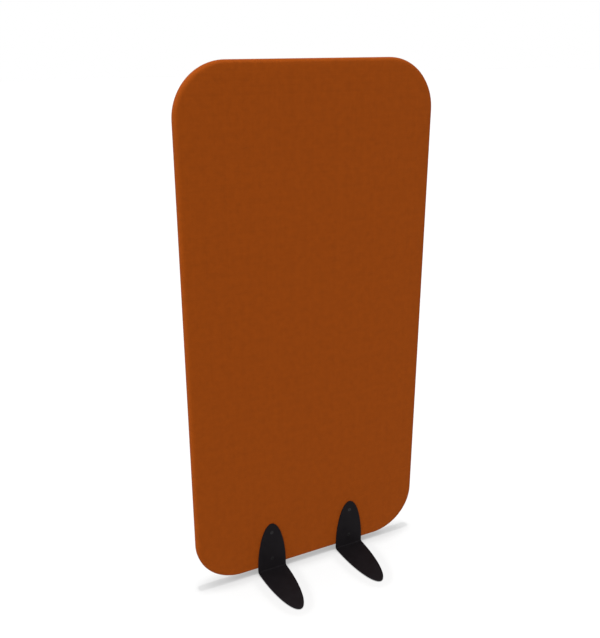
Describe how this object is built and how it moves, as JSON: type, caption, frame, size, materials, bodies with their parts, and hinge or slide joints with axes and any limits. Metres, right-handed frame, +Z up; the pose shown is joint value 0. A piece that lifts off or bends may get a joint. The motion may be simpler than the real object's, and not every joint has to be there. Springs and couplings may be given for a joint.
{
  "type": "acoustic divider screen",
  "caption": "Free-standing acoustic divider: a fabric-covered panel with rounded corners, held upright by bent steel feet with oval tongues, front and back.",
  "frame": {"origin": "on the floor, under the middle of the panel's width and thickness", "axes": "+Z up along the panel's height, +X along the panel's width to the right seen from the front, the front faces -Y"},
  "size_m": [0.8, 0.46, 1.615],
  "materials": {
    "rust_fabric": "fine plain weave, rust orange, matt",
    "wadding": "soft white polyester wadding",
    "absorber_fibre": "grey pressed polyester fibre board",
    "softwood": "planed pine",
    "plywood": "birch plywood, sanded",
    "beech": "grooved beech dowel",
    "zinc_plated_steel": "bright zinc plate",
    "black_powder_coat": "fine matt black powder coat on steel plate",
    "blackened_steel": "black oxide, satin",
    "black_rubber": "matt black rubber sheet"
  },
  "bodies": {
    "root": {"left_stile": "softwood", "right_stile": "softwood", "top_rail": "softwood", "middle_rail": "softwood", "bottom_rail": "softwood", "top_right_corner_block": "plywood", "top_left_corner_block": "plywood", "bottom_left_corner_block": "plywood", "bottom_right_corner_block": "plywood", "left_foot_block": "plywood", "right_foot_block": "plywood", "frame_dowels": "beech", "upper_absorber": "absorber_fibre", "lower_absorber": "absorber_fibre", "front_wadding": "wadding", "rear_wadding": "wadding", "front_cover": "rust_fabric", "rear_cover": "rust_fabric", "threaded_bushes": "zinc_plated_steel", "front_left_foot": "black_powder_coat", "front_right_foot": "black_powder_coat", "rear_left_foot": "black_powder_coat", "rear_right_foot": "black_powder_coat", "front_left_sole": "black_rubber", "front_right_sole": "black_rubber", "rear_left_sole": "black_rubber", "rear_right_sole": "black_rubber", "front_screws": "blackened_steel", "rear_screws": "blackened_steel"}
  },
  "joints": []
}
